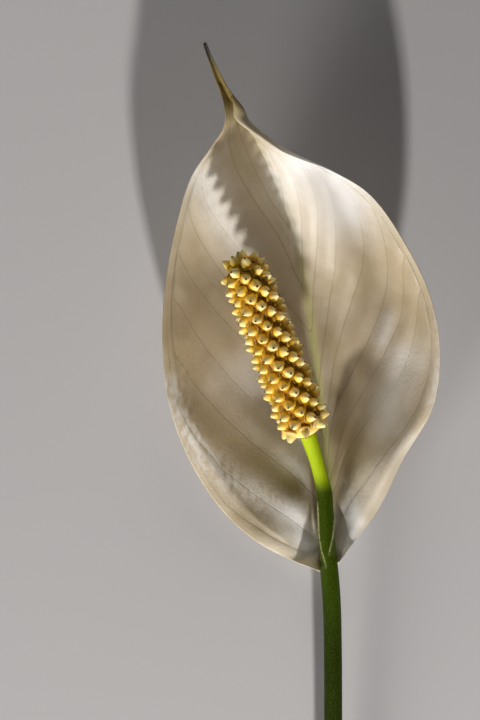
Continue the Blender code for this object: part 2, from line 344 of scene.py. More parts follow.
@dataclass(frozen=True)
class BladeFinish:
    """Thin satin tissue of the spathe, ivory with green along its midrib and in its tail, with
    painted highlights, painted light and painted shade laid on in streaks.
    """

    ivory: Colour = (0.625, 0.54, 0.4)
    shade: Colour = (0.515, 0.42, 0.28)
    green: Colour = (0.56, 0.56, 0.19)
    olive: Colour = (0.23, 0.155, 0.018)
    tip: Colour = (0.022, 0.014, 0.008)
    vein: Colour = (0.29, 0.24, 0.11)
    speck: Colour = (0.33, 0.18, 0.07)
    # Pale colour of the painted highlights and of the painted light
    painted_highlight: Colour = (0.94, 0.92, 0.9)
    # Colour of random clouds and of the painted shade
    cloud_and_painted_shade: Colour = (0.4, 0.31, 0.175)
    vein_half_width: float = 0.17
    main_veins: float = 0.46
    side_veins: float = 0.15
    bump_depth: float = 0.055
    # Stations over which the tail turns olive and its tip dark
    tail: Row = (10.8, 12.6)
    tail_tip: Row = (13.0, 14.7)

    def vein_lines(self, shader: Shader, shift: float, width: float) -> Socket:
        """Thin lines where the vein number is a whole number.

        Args:
            shader: Material that they are for.
            shift: How far they are moved over, in numbers.
            width: Half their width in millimetres.

        Returns:
            1 on a line and 0 between lines.
        """
        number = shader.math("ADD", shader.attribute("vein"), shift)
        apart = shader.math("ABSOLUTE", shader.math("SUBTRACT", number,
                                                    shader.math("ROUND", number)))
        away = shader.times(apart, shader.attribute("vein_gap"))
        return shader.ramp(away, 0.0, 1.9 * width, 1.0, 0.0)

    def material(self) -> Material:
        """Builds the finish.

        Returns:
            The material.
        """
        shader = Shader("spathe_tissue", self.ivory)
        along = shader.attribute("along")
        rib = shader.attribute("rib")
        edge = shader.attribute("edge")
        blotch = shader.noise(9.0, 3.0)
        grain = shader.noise(0.28, 3.0)
        streak = shader.noise(1.2, 2.0, (1.0, 7.0, 1.0))

        shader.lay(shader.ramp(blotch, 0.35, 0.75), self.shade)
        shader.mottle(0.1, streak, (0.75, 0.7, 0.58))
        # Random clouds, and painted shade and shadow where the browner streaks lie, both in the
        # cloud colour
        cloud_and_painted_shade = shader.times(shader.ramp(shader.noise(20.0, 4.0), 0.46, 0.72), 0.42)
        dusk = shader.times(shader.attribute("dusk"), shader.ramp(blotch, 0.3, 0.7, 0.6, 1.0))
        cloud_and_painted_shade = shader.math("MAXIMUM", cloud_and_painted_shade, dusk)
        shader.lay(cloud_and_painted_shade, self.cloud_and_painted_shade)
        rib_share = shader.times(shader.ramp(rib, 0.2, 1.9, 1.0, 0.0),
                                 shader.ramp(along, 9.5, 3.5, 0.12, 0.7))
        shader.lay(rib_share, self.green)
        foot = shader.times(shader.ramp(along, 1.8, 0.3), shader.ramp(rib, 5.0, 1.0))
        shader.lay(shader.times(foot, 0.55), self.green)
        shader.lay(shader.ramp(along, *self.tail, 0.0, 0.96), self.olive)
        shader.lay(shader.ramp(along, *self.tail_tip), self.tip)

        main = self.vein_lines(shader, 0.0, self.vein_half_width)
        side = self.vein_lines(shader, 0.5, 0.6 * self.vein_half_width)
        veins = shader.math("MAXIMUM", shader.times(main, self.main_veins),
                            shader.times(side, self.side_veins))
        fade = shader.times(shader.ramp(edge, 0.4, 2.5), shader.ramp(along, 0.2, 1.4))
        veins = shader.times(veins, fade)
        shader.lay(veins, self.vein)

        speck = shader.times(shader.ramp(shader.cells(6.5), 0.02, 0.055, 1.0, 0.0),
                             shader.math("GREATER_THAN", shader.noise(14.0, 0.0), 0.56))
        shader.lay(shader.times(speck, 0.75), self.speck)
        shader.mottle(0.12, grain, (0.7, 0.66, 0.6))

        # Painted highlights: satin streaks in the pale colour, where the skin is also less rough
        painted_highlight = shader.times(shader.attribute("painted_highlight"),
                             shader.ramp(shader.noise(1.3, 3.0, (1.0, 1.8, 1.0)), 0.26, 0.66))
        # Painted light: a pale lift over shaded places
        fair = shader.times(shader.attribute("fair"), shader.ramp(blotch, 0.2, 0.7, 1.0, 0.75))
        shader.lay(fair, self.painted_highlight)
        shader.lay(shader.times(painted_highlight, 0.55), self.painted_highlight)
        satin = shader.ramp(shader.noise(2.2, 3.0), 0.3, 0.75, 0.38, 0.5)
        satin = shader.math("SUBTRACT", satin, shader.times(painted_highlight, 0.16))
        satin = shader.math("ADD", satin, shader.ramp(along, *self.tail, 0.0, 0.3))
        height = shader.math("ADD", shader.times(grain, 0.8),
                             shader.times(shader.noise(0.75, 3.0), 1.2))
        height = shader.math("SUBTRACT", height, shader.times(veins, 1.1))
        shader.bump(height, self.bump_depth)
        return shader.finish(satin, Subsurface_Weight=0.2, Subsurface_Scale=0.0009,
                             Subsurface_Radius=(1.0, 0.9, 0.6), Specular_IOR_Level=0.6,
                             Coat_Weight=0.25, Coat_Roughness=0.38)


@dataclass(frozen=True)
class FloretFinish:
    """Waxy florets: golden cones with a brown stigma on pale-edged scales, with painted shade in
    the gaps at their feet and over the core.
    """

    gold: Colour = (0.99, 0.6, 0.01)
    pale: Colour = (1.0, 0.88, 0.44)
    cream: Colour = (0.97, 0.83, 0.4)
    # Painted shade at the florets' feet and over the core, in the gaps
    painted_gap_shade: Colour = (0.3, 0.09, 0.001)
    rim: Colour = (0.93, 0.7, 0.2)
    stigma: Colour = (0.16, 0.055, 0.012)

    def material(self) -> Material:
        """Builds the finish.

        Returns:
            The material.
        """
        shader = Shader("floret_wax", self.gold)
        height = shader.attribute("height")
        shader.lay(shader.ramp(height, 0.14, 0.78), self.pale)
        # Painted shade low on each floret and over the core
        shader.lay(shader.ramp(height, 0.36, 0.04), self.painted_gap_shade)
        shader.lay(shader.times(shader.attribute("rim"), 0.55), self.rim)
        shader.lay(shader.times(shader.attribute("low"), 0.7), self.cream)
        shader.lay(shader.times(shader.attribute("tone"), 0.45), self.gold)
        mottle = shader.noise(0.7, 3.0)
        shader.mottle(0.12, mottle, (0.6, 0.52, 0.36))
        shader.lay(shader.ramp(height, 0.94, 0.975), self.stigma)
        shader.bump(shader.noise(0.35, 3.0), 0.05, 0.8)
        return shader.finish(shader.ramp(mottle, 0.3, 0.7, 0.38, 0.52),
                             Subsurface_Weight=0.12, Subsurface_Scale=0.0006,
                             Subsurface_Radius=(1.0, 0.75, 0.25), Specular_IOR_Level=0.12)


@dataclass(frozen=True)
class StalkFinish:
    """Smooth green stalk with fine lines along it, darker towards its cut end and lime where its
    neck bends up; the lime is partly its own colour and partly painted light.
    """

    green: Colour = (0.08, 0.132, 0.001)
    dark: Colour = (0.018, 0.033, 0.0004)
    # Lime for the flecks and up the neck, where it is partly painted light
    lime_and_painted_light: Colour = (0.46, 0.6, 0.008)
    seam: Colour = (0.64, 0.64, 0.3)
    skin: Colour = (0.56, 0.52, 0.3)
    pith: Colour = (0.3, 0.38, 0.12)

    def material(self) -> Material:
        """Builds the finish.

        Returns:
            The material.
        """
        shader = Shader("stalk_skin", self.dark)
        along = shader.attribute("along")
        lines = shader.noise(0.55, 3.0, (1.0, 22.0, 1.0))
        blotch = shader.noise(5.0, 3.0, (1.0, 4.0, 1.0))
        shader.lay(blotch, self.green)
        # Darker towards the cut end
        shader.lay(shader.ramp(along, 0.0, -24.0, 0.0, 0.85), self.dark)
        # Lime up the neck: partly its own colour, partly painted light
        shader.lay(shader.ramp(along, 16.0, 21.5), self.lime_and_painted_light)
        shader.mottle(0.35, lines, (0.55, 0.6, 0.45))
        fleck = shader.ramp(shader.cells(0.34), 0.05, 0.38, 0.22, 0.0)
        shader.lay(fleck, self.lime_and_painted_light)
        paler = shader.ramp(along, 4.0, 13.0, 0.05, 0.85)
        shader.lay(shader.times(shader.attribute("wrap"), paler), self.skin)
        ragged = shader.ramp(shader.noise(0.9, 3.0), 0.3, 0.6, 0.25)
        shader.lay(shader.times(shader.attribute("seam"), ragged), self.seam)
        dots = shader.ramp(shader.cells(0.62), 0.12, 0.34, 0.75, 0.0)
        shader.lay(shader.attribute("cut"), shader.mix(dots, self.pith, self.dark))
        height = shader.math("ADD", lines, shader.times(shader.noise(0.3, 2.0), 0.4))
        shader.bump(height, 0.07, 0.8)
        return shader.finish(shader.ramp(blotch, 0.3, 0.7, 0.46, 0.6),
                             Subsurface_Weight=0.1, Subsurface_Scale=0.0008,
                             Subsurface_Radius=(0.8, 1.0, 0.2), Specular_IOR_Level=0.1)


@dataclass(frozen=True)
class FloorFinish:
    """Plain pale matt paint."""

    paint: Colour = (0.69, 0.675, 0.68)

    def material(self) -> Material:
        """Builds the finish.

        Returns:
            The material.
        """
        shader = Shader("floor_paint", self.paint)
        soft = shader.noise(60.0, 2.0)
        shader.mottle(0.06, soft, (0.8, 0.8, 0.8))
        return shader.finish(0.85)


@dataclass
class Stalk:
    """Flower stalk and the thinner neck that carries the spadix."""

    # Middle of the stalk and its radius
    stations: Table = (
        (-0.6, -117.5, 2.25, 2.25), (0.6, -90, 3.6, 2.2), (1.2, -60, 5.05, 2.15),
        (1.3, -37.5, 6.2, 2.12), (1.2, -20.9, 7.1, 2.12), (0.9, -10, 7.75, 2.15),
        (0.3, -2, 8.3, 2.15), (-0.3, 5, 8.8, 2.02), (-0.6, 11.5, 9.2, 1.92), (-0.9, 16.5, 9.8, 1.8),
        (-1.9, 20.6, 10.8, 1.66), (-3.2, 25.3, 12.15, 1.72), (-4.87, 30.14, 13.86, 1.92),
    )
    rings_per_step: Sequence[int] = (24, 24, 20, 16, 16, 24, 36, 36, 28, 14, 14, 14)
    sides: int = 56
    ridge: float = 0.14
    ridge_half_width: float = 0.15
    wave: float = 0.05
    # Thickness and depth of the cut end's rim, and the rings in it
    cut_rim: Row = (0.16, 0.1)
    cut_rings: int = 4
    cut_step: float = 0.42
    # Heights above which the foot of the spathe and its seams lie on the stalk
    wrap_from: float = 6.5
    seam_from: float = 8.0
    # Where the spathe leaves the stalk, as places across and along
    seams: Sequence[Table] = (
        ((-2.45, 14.6), (-2.25, 10.0), (-2.05, 5.5), (-1.45, 2.4), (-0.7, 0.0), (-0.5, -1.6)),
        ((1.7, 12.0), (1.3, 9.0), (1.05, 6.2), (0.55, 3.8), (0.0, 1.4)),
    )
    finish: StalkFinish = field(default_factory=StalkFinish)

    def centre(self, at: float) -> Vector:
        """Middle of the stalk at a station."""
        return place_between(self.stations, at)

    def radius(self, at: float) -> float:
        """Radius of the stalk at a station."""
        return between([row[3] for row in self.stations], at)

    @staticmethod
    def across(line: Table, y: float) -> float:
        """Place across of a seam at a place along the stalk."""
        return float(np.interp(-y, [-row[1] for row in line], [row[0] for row in line]))

    def seam_at(self, point: Vector) -> float:
        """How much of the spathe's seams lies on the stalk's upper side.

        Args:
            point: Point of the stalk.

        Returns:
            A share from 0 to 1.
        """
        best = 0.0
        for line in self.seams:
            ends = (line[0][1], line[-1][1])
            if not min(ends) < point.y < max(ends):
                continue
            fade = smooth_step(0.0, 2.0, ends[0] - point.y)
            fade *= smooth_step(0.0, 1.2, point.y - ends[1])
            away = (point.x - self.across(line, point.y)) / self.ridge_half_width
            best = max(best, fade * math.exp(-away * away * 2.0))
        return best

    def wrap_at(self, point: Vector) -> float:
        """How much of the spathe's foot covers the stalk, outside the seams.

        Args:
            point: Point of the stalk.

        Returns:
            A share from 0 to 1.
        """
        best = 0.0
        for line, sign in zip(self.seams, (-1.0, 1.0)):
            past = sign * (point.x - self.across(line, point.y))
            foot = line[-1][1] + 0.12 * abs(point.x - line[-1][0])
            best = max(best, smooth_step(-0.1, 0.1, past)
                       * smooth_step(-0.15, 0.15, point.y - foot)
                       * smooth_step(0.0, 1.0, line[0][1] - point.y))
        return best

    def build(self) -> bpy.types.Object:
        """Builds the stalk as one closed tube with a cut lower end.

        Returns:
            The finished piece.
        """
        ats = fine_stations(self.rings_per_step)
        centres = [self.centre(at) for at in ats]
        bm = bmesh.new()
        loops = []
        for index, at in enumerate(ats):
            before, after = centres[max(index - 1, 0)], centres[min(index + 1, len(ats) - 1)]
            ring = bmesh.ops.create_circle(bm, segments=self.sides, radius=self.radius(at),
                                           matrix=ring_matrix(centres[index], after - before))
            loops.append(ring_edges(ring["verts"]))
        cut_face, top_face = close_tube(bm, loops)
        rim, depth = self.cut_rim
        bmesh.ops.inset_region(bm, faces=cut_face, thickness=rim, depth=depth)
        for _ in range(self.cut_rings):
            bmesh.ops.inset_region(bm, faces=cut_face, thickness=self.cut_step)
        bmesh.ops.poke(bm, faces=cut_face + top_face)
        bmesh.ops.recalc_face_normals(bm, faces=bm.faces)
        bm.normal_update()
        first = self.centre(0.0)
        axis = (self.centre(0.1) - first).normalized()
        values: dict[str, list[float]] = {"along": [], "cut": [], "seam": [], "wrap": []}
        moves = []
        for vert in bm.verts:
            point = vert.co.copy()
            on_cut = float((point - first).dot(axis) < 0.05
                           and (point - first).length < self.radius(0.0) - 0.05)
            seam = self.seam_at(point) if point.z > self.seam_from else 0.0
            values["wrap"].append(self.wrap_at(point) if point.z > self.wrap_from else 0.0)
            values["along"].append(point.y)
            values["cut"].append(on_cut)
            values["seam"].append(seam)
            wave = noise.noise(Vector((point.x, point.y * 0.06, point.z)) * 0.9)
            fine = noise.noise(point * 1.4) if on_cut else 0.0
            waves = self.wave * (wave * (1.0 - on_cut) + fine)
            moves.append(vert.normal * (self.ridge * seam + waves))
        for vert, move in zip(bm.verts, moves):
            vert.co += move
            vert.co.z = max(vert.co.z, 0.0)
        piece = finished_piece("stalk", bm, self.finish.material(), "stem", "stem")
        keep_values(piece, values)
        return piece


@dataclass(frozen=True)
class HalfSection:
    """One half of the spathe's section: a bowl from the midrib and a strip along the edge."""

    middle: Vector
    out: Vector
    width: float
    rise: float
    crease: float
    power: float
    strip: float
    curl: float
    heading: float

    def point(self, share: float) -> tuple[float, float]:
        """Point of the half section.

        Args:
            share: From 0 at the midrib over 1 to 2 at the edge.

        Returns:
            Distance out and height.
        """
        if share <= 1.0:
            return (self.width * share,
                    -self.crease * share + (self.rise + self.crease) * share ** self.power)
        return arc((self.width, self.rise), self.heading, self.curl, self.strip,
                   self.strip * (share - 1.0))


def arc(start: Row, heading: float, turn: float, length: float, run: float) -> tuple[float, float]:
    """Point on a circular arc in its upright plane.

    Args:
        start: Distance out and height at the start.
        heading: Slope there, in radians.
        turn: Turn over the arc.
        length: Its length.
        run: Length run so far.

    Returns:
        Distance out and height.
    """
    bend = turn * run / length
    if abs(bend) < 1e-4:
        return start[0] + run * math.cos(heading), start[1] + run * math.sin(heading)
    radius = run / bend
    return (start[0] + radius * (math.sin(heading + bend) - math.sin(heading)),
            start[1] - radius * (math.cos(heading + bend) - math.cos(heading)))


@dataclass
class Spathe:
    """White bract round the spadix: a thin blade with its veins, rolled neck and tail."""

    blade: float = 0.4
    midrib: Table = (
        (0.3, -1.9, 4.9), (0.3, 4.7, 4.7), (0.4, 13.2, 4.3), (0.2, 23.2, 3.1), (-1.4, 35.8, 1.4),
        (-2.8, 48.4, 1.15), (-4.4, 60.8, 1.25), (-6.4, 71.7, 2.7), (-9.1, 80.8, 5.5),
        (-12.2, 88.7, 10), (-15.6, 96, 15), (-19.1, 101.5, 19.2), (-21.5, 105.4, 22),
        (-24.8, 110, 24.5), (-27.1, 115.5, 26.6), (-28.75, 119.6, 28),
    )
    left_edge: Table = (
        (-2.6, -1.8, 8.4), (-8.5, 0.3, 6.2), (-17.3, 5.2, 7), (-25.7, 13.3, 8.2),
        (-33.1, 25.4, 10.6), (-37.5, 38.6, 13.4), (-38.8, 52.1, 14.8), (-38, 65.8, 16.2),
        (-35.6, 78.2, 18), (-32.3, 89, 20.3), (-27.7, 95.9, 22.4), (-24.7, 100.6, 23.8),
        (-24.4, 104.7, 24.8), (-25.6, 109.5, 25), (-27.6, 115.2, 26.75), (-28.85, 119.5, 28.02),
    )
    right_edge: Table = (
        (2.9, 0.5, 8.4), (6.4, 5, 7.2), (12, 13, 7.8), (17.1, 23.9, 10.8), (24, 36.3, 15),
        (25.6, 49, 18), (23.3, 61.8, 20.8), (17.5, 73.7, 23), (9.7, 84.6, 24.4), (0.6, 90.5, 24),
        (-9.4, 95.1, 23.4), (-17.6, 101.2, 22.6), (-20, 105.3, 23.4), (-23.8, 110.5, 25),
        (-26.6, 115.7, 26.75), (-28.65, 119.65, 28.02),
    )
    # By station: crease beside the midrib, power of each bowl, and each edge strip's width and
    # end slope in degrees
    crease: Row = (0, 0, 0.3, 0.8, 1.2, 1.4, 1.2, 0.9, 0.6, 0.2, 0, 0, 0, 0, 0, 0)
    left_bowl: Row = (
        1.3, 1.25, 1.25, 1.45, 1.9, 2.4, 2.4, 2.2, 1.7, 1.4, 1.3, 1.3, 1.3, 1.3, 1.2, 1,
    )
    right_bowl: Row = (1.3, 1.1, 1, 1.15, 1.7, 2.3, 2.1, 1.5, 1.15, 1, 1, 1, 1.1, 1.3, 1.2, 1)
    left_strip: Row = (2.6, 3.6, 5, 6, 6, 4.6, 3.6, 3, 2.8, 2.4, 2.2, 2, 1.8, 0.9, 0.4, 0.2)
    left_end: Row = (120, 0, -14, -16, -8, 12, 38, 52, 62, 75, 88, 100, 95, 40, 15, 8)
    right_strip: Row = (2.6, 3.2, 4.4, 4, 3.4, 3, 3, 3, 3.2, 3.6, 3.9, 4.8, 3.6, 1.4, 0.4, 0.2)
    right_end: Row = (130, -10, -40, -32, 4, 44, 68, 68, 76, 105, 195, 210, 185, 50, 15, 8)
    # Soft hollows, or swellings where the depth is negative: middle, half width, half length,
    # turn in degrees and depth
    hollows: Table = (
        (-14.2, 42.3, 6.2, 9.5, -12, 3), (5, 43, 4.6, 10, 8, 2.1), (11, 22, 6, 9, 20, -1.6),
        (-30.5, 31, 4, 9, -30, -1.2), (-18.5, 18.5, 4, 9, -66, -0.6), (-31, 53, 8, 9, 0, -1.6),
        (-30, 71.5, 8, 8, 0, 1.8), (-8, -2.5, 5, 5.5, 0, 1.7), (7, -2, 3.6, 5.5, 0, 1.5),
        (-8, 13, 4.5, 5.5, 0, -0.9), (6.8, 12.5, 3.5, 5, 0, -0.8),
    )
    # Painted highlights: satin streaks painted pale on the skin, where it is also less rough; half
    # width, strength and the line along which each lies
    painted_highlights: Sequence[Streak] = (
        (3, 1, ((-36.7, 41.6), (-33.6, 32.9), (-28.9, 25.1), (-22.6, 19.3), (-15.5, 15),
         (-10.1, 11.8))),
        (1.3, 0.9, ((-7.3, 25.1), (-5.9, 19.7), (-4.5, 15.7))),
        (1.1, 0.9, ((4, 18.8), (5.6, 14.6))),
        (1.2, 0.9, ((5.6, 12.7), (7.5, 9.4))),
        (1.5, 0.7, ((24.4, 61.6), (25.9, 49.8), (24, 38))),
        (1.6, 0.6, ((-14.1, 94.5), (-10.1, 83.9), (-7, 73.3))),
        (3.5, 0.5, ((-30, 89.8), (-26.6, 83.9), (-21.9, 76.8))),
    )
    # Painted shade and shadow: browner parts of the skin, in the same way; in the neck it is partly
    # the skin's own browner colour
    painted_shades: Sequence[Streak] = (
        (8.5, 0.7, ((-32, 44), (-30.5, 54), (-27, 66), (-21, 73))),
        (3.2, 0.7, ((2.8, 21), (3.3, 32), (2.4, 44), (0.4, 54))),
        (3.2, 0.8, ((6.4, 57.5), (6.8, 50.5), (8.4, 45.5))),
        (4.5, 0.8, ((-23.5, 101), (-20, 97.5), (-16.8, 91.5))),
        (3.8, 0.9, ((-37, 30), (-29, 17.5), (-21, 9.5), (-17, 7.5))),
        (7, 0.6, ((5, 70), (14, 65), (21, 58))),
    )
    # Painted light: whiter parts of the skin that lift shaded places, in the same way
    painted_lights: Sequence[Streak] = (
        (7.5, 1, ((-6, 92.5), (0, 88), (3, 83))),
        (4.5, 0.5, ((-29, 88), (-25, 81), (-20, 74))),
        (3, 0.25, ((7, 14), (11, 20), (17, 30))),
        (3.4, 1, ((-8, 12), (-6, 7), (-3.5, 2.5))),
        (2.6, 0.9, ((5, 12), (5, 6), (3.4, 2.5))),
        (5, 0.75, ((17, 47), (14.8, 40), (13, 33))),
        (2, 0.65, ((14, 57), (12.8, 52))),
        (6, 0.6, ((-22, 42), (-17, 36), (-9.5, 24))),
        (2, 0.6, ((2.8, 10), (4, 5))),
    )
    # Sizes of the small forms of the skin, and the thinnest edge as a share of the blade
    pillow: float = 0.14
    rib: float = 0.3
    wave: float = 0.32
    ripple: float = 0.1
    crinkle: float = 0.16
    thin_edge: float = 0.55
    # Width in which the edge thins, and stations over which the tail does
    thin_width: float = 3.5
    thin_tail: Row = (12.5, 15.0)
    rows_per_step: Sequence[int] = (26, 18, 16, 14, 14, 14, 14, 14, 14, 16, 18, 20, 18, 14, 10)
    strip_columns: int = 22
    half_columns: int = 46
    stalk: Stalk = field(default_factory=Stalk)
    # Station up to which the blade keeps clear of the stalk, how far it may press into it, and
    # the balls that stand for the stalk there
    clasp_end: float = 5.0
    press: float = 0.05
    keep_out: list[tuple[Vector, float]] = field(default_factory=list)
    finish: BladeFinish = field(default_factory=BladeFinish)
    # Share and vein number just past the edge, the number at the midrib's start and how far it
    # runs on past the last vein, and the least share between two veins
    past_edge: Row = (2.05, -0.55)
    midrib_ends: Row = (-0.45, 0.6)
    least_gap: float = 0.004
    # Veins, outermost first: stations from the one where each leaves the midrib, and shares
    # across from the second station on to the tip of the tail
    right_veins: Sequence[Table] = (
        ((0.5, 1.4, 2.05, 2.65, 3.4, 4.6, 5.8, 8),
         (0.42, 0.56, 0.8, 0.94, 0.99, 1.05, 1.6, 1.85)),
        ((1.9, 2.6, 3.05, 3.55, 3.9, 4.5, 5.15, 6.05, 6.8, 8),
         (0.17, 0.25, 0.43, 0.55, 0.74, 0.85, 0.96, 1.25, 1.5, 1.7)),
        ((2.5, 3.1, 3.8, 4.2, 4.75, 5.25, 5.6, 6.1, 6.6, 7.05, 8),
         (0.14, 0.28, 0.4, 0.55, 0.67, 0.77, 0.85, 0.92, 1.1, 1.38, 1.55)),
        ((3.1, 3.7, 4.15, 4.4, 4.95, 5.4, 6.2, 6.95, 7.4, 7.8, 8.4),
         (0.09, 0.18, 0.26, 0.4, 0.52, 0.72, 0.87, 0.94, 0.99, 1.22, 1.4)),
        ((3.4, 4.1, 4.55, 5, 5.5, 6.15, 6.65, 7.25, 8.05, 8.65, 9.3),
         (0.08, 0.13, 0.18, 0.27, 0.42, 0.57, 0.72, 0.86, 0.98, 1.15, 1.25)),
        ((4.4, 4.9, 5.4, 6.1, 6.45, 7, 7.5, 7.95, 8.3, 9, 9.6),
         (0.05, 0.11, 0.2, 0.27, 0.37, 0.47, 0.58, 0.66, 0.84, 0.97, 1.08)),
        ((5.5, 6, 6.35, 6.9, 7.6, 8.3, 8.8, 9.3, 10.2),
         (0.04, 0.07, 0.15, 0.28, 0.45, 0.55, 0.68, 0.82, 0.92)),
        ((6.7, 7.1, 7.65, 8.25, 9, 9.6, 10.6),
         (0.03, 0.1, 0.2, 0.33, 0.44, 0.56, 0.7)),
        ((8.4, 9.2, 10, 11),
         (0.12, 0.24, 0.34, 0.45)),
    )
    left_veins: Sequence[Table] = (
        ((0.1, 0.5, 1.1, 1.65, 2.2, 3),
         (0.6, 0.98, 1.2, 1.36, 1.7, 1.92)),
        ((0.4, 1.4, 1.8, 2.2, 2.55, 2.95, 3.5, 3.8, 4.15, 4.8),
         (0.47, 0.57, 0.67, 0.77, 0.86, 0.98, 1.07, 1.32, 1.55, 1.8)),
        ((1.5, 2.4, 2.95, 3.5, 3.8, 4.35, 4.95, 5.65, 6.3),
         (0.22, 0.37, 0.55, 0.65, 0.77, 0.88, 0.98, 1.22, 1.66)),
        ((2.5, 3.3, 3.9, 4.45, 5.1, 5.7, 6.45, 6.85, 7.6),
         (0.18, 0.34, 0.51, 0.66, 0.79, 0.93, 1.06, 1.25, 1.5)),
        ((3.5, 4.5, 5.5, 5.8, 6.2, 6.6, 6.95, 7.35, 8.2),
         (0.24, 0.47, 0.55, 0.66, 0.77, 0.87, 0.97, 1.18, 1.36)),
        ((4.6, 5.6, 6.95, 7.45, 7.9, 8.35, 9),
         (0.28, 0.62, 0.76, 0.89, 1, 1.12, 1.22)),
        ((5.4, 6.4, 7.4, 7.9, 8.25, 8.65, 9.2),
         (0.22, 0.48, 0.63, 0.75, 0.88, 0.98, 1.08)),
        ((6.2, 6.65, 7.1, 7.6, 8.15, 8.75, 9.6, 10.4),
         (0.06, 0.09, 0.13, 0.22, 0.35, 0.57, 0.8, 0.9)),
        ((7.5, 8.3, 8.8, 9.65, 10.6),
         (0.1, 0.16, 0.28, 0.42, 0.55)),
    )

    def half(self, at: float, side: Side) -> HalfSection:
        """Works out one half of the section at a station.

        Args:
            at: Station.
            side: Which half.

        Returns:
            The half, whose strip bends so that the outline meets the stated edge.
        """
        is_right = side is Side.RIGHT
        middle = place_between(self.midrib, at)
        rim = place_between(self.right_edge if is_right else self.left_edge, at)
        strip = between(self.right_strip if is_right else self.left_strip, at)
        end = math.radians(between(self.right_end if is_right else self.left_end, at))
        power = between(self.right_bowl if is_right else self.left_bowl, at)
        crease = between(self.crease, at)
        out = (rim - middle).to_2d()
        reach = out.length
        out.normalize()
        rise = rim.z - middle.z
        width = max(reach - 0.5 * strip, 0.2)
        heading = curl = 0.0
        for _ in range(FIT_ROUNDS):
            heading = math.atan2(power * (rise + crease) - crease, width)
            curl = end - heading
            parts = [step / ARC_STEPS for step in range(ARC_STEPS + 1)]
            runs = [arc((0.0, 0.0), heading, curl, strip, strip * part)[0]
                    + self.blade * math.sin(heading + curl * part) for part in parts]
            width = max(0.5 * (width + reach - max(runs)), 0.2)
        return HalfSection(middle, out, width, rise, crease, power, strip, curl, heading)

    def hollow_depth(self, x: float, y: float) -> float:
        """How far the hollows lower the blade.

        Args:
            x: Place across.
            y: Place along.

        Returns:
            The depth.
        """
        drop = 0.0
        for middle_x, middle_y, width, length, turn, depth in self.hollows:
            turn = math.radians(turn)
            away_x, away_y = x - middle_x, y - middle_y
            along = away_x * math.sin(turn) + away_y * math.cos(turn)
            aside = away_x * math.cos(turn) - away_y * math.sin(turn)
            drop += depth * math.exp(-(aside / width) ** 2 - (along / length) ** 2)
        return drop

    def clear_of_stalk(self, point: Vector) -> Vector:
        """Keeps the open face out of the stalk.

        Args:
            point: Point of the face.

        Returns:
            The point, or a place where it only just meets the stalk.
        """
        short, number = min(((point - centre).length - need, number)
                            for number, (centre, need) in enumerate(self.keep_out))
        centre, need = self.keep_out[number]
        return centre + (point - centre).normalized() * need if short < 0.0 else point

    def vein_numbers(self, ats: np.ndarray, shares: np.ndarray, side: Side) -> np.ndarray:
        """Running number of the veins, which is whole on each vein.

        Args:
            ats: Stations of the rows.
            shares: Shares across of one half's columns, all positive.
            side: Which half.

        Returns:
            One number for each row and column.
        """
        veins = self.right_veins if side is Side.RIGHT else self.left_veins
        tip = float(len(self.rows_per_step))
        lines = []
        soft = np.hanning(9)
        soft /= soft.sum()
        pad = len(soft) // 2
        for stations, across in veins:
            line = np.interp(ats, [*stations, tip], [0.0, *across])
            padded = np.concatenate([np.full(pad, line[0]), line, np.full(pad, line[-1])])
            lines.append(np.convolve(padded, soft, "valid"))
        starts = [vein[0][0] for vein in veins]
        before, beyond = self.midrib_ends
        numbers = np.zeros((len(ats), len(shares)))
        for row, at in enumerate(ats):
            middle = float(np.interp(at, [-1.0, *starts, tip],
                                     [before, *range(len(veins)), len(veins) + beyond]))
            marks, counts = [self.past_edge[0]], [self.past_edge[1]]
            for number, line in enumerate(lines):
                if starts[number] < at and self.least_gap < line[row] < marks[-1] - self.least_gap:
                    marks.append(line[row])
                    counts.append(number)
            marks.append(0.0)
            counts.append(max(middle, counts[-1] + 0.05))
            numbers[row] = np.interp(shares, marks[::-1], counts[::-1])
        return numbers

    def relief(self, at: float, share: float, number: float, point: Vector) -> float:
        """Height of the small forms of the open face in millimetres.

        Args:
            at: Station.
            share: Share across, from 0 to 2.
            number: Running number of the veins.
            point: Place on the blade.

        Returns:
            The height.
        """
        apart = abs(number - round(number))
        pillow = -self.pillow * math.cos(2.0 * math.pi * apart)
        fade = smooth_step(0.02, 0.25, share) * (1.0 - smooth_step(1.0, 1.8, share))
        fade *= smooth_step(0.8, 2.0, at) * (1.0 - smooth_step(10.0, 11.5, at))
        rib = -self.rib * math.exp(-(share / 0.03) ** 2) * (1.0 - smooth_step(9.0, 11.0, at))
        wave = self.wave * noise.noise(Vector((point.x * 0.085, point.y * 0.05, 3.7)))
        ripple = self.ripple * noise.noise(Vector((point.x * 0.3, point.y * 0.16, 9.1)))
        crinkle = self.crinkle * noise.noise(Vector((point.x * 0.42, point.y * 0.3, 5.3)))
        crinkle *= (1.0 - smooth_step(1.4, 3.0, at)) * smooth_step(0.02, 0.2, share)
        return (pillow * fade + rib + crinkle
                + (wave + ripple) * (1.0 - smooth_step(10.0, 12.0, at)))

    def build(self) -> bpy.types.Object:
        """Builds the blade on a grid and gives it its thickness.

        Returns:
            The finished piece.
        """
        ats = fine_stations(self.rows_per_step)
        columns = (self.strip_columns, self.half_columns, self.half_columns, self.strip_columns)
        shares = [share - 2.0 for share in fine_stations(columns)]
        ats_array, shares_array = np.array(ats), np.array(shares)
        is_left = shares_array < 0.0
        size = (len(ats), len(shares))
        numbers = np.zeros(size)
        numbers[:, is_left] = self.vein_numbers(ats_array, -shares_array[is_left], Side.LEFT)
        numbers[:, ~is_left] = self.vein_numbers(ats_array, shares_array[~is_left], Side.RIGHT)
        near = [4.0 + step / 5 for step in range(41)]
        self.keep_out = [(self.stalk.centre(at), self.stalk.radius(at) - self.press) for at in near]

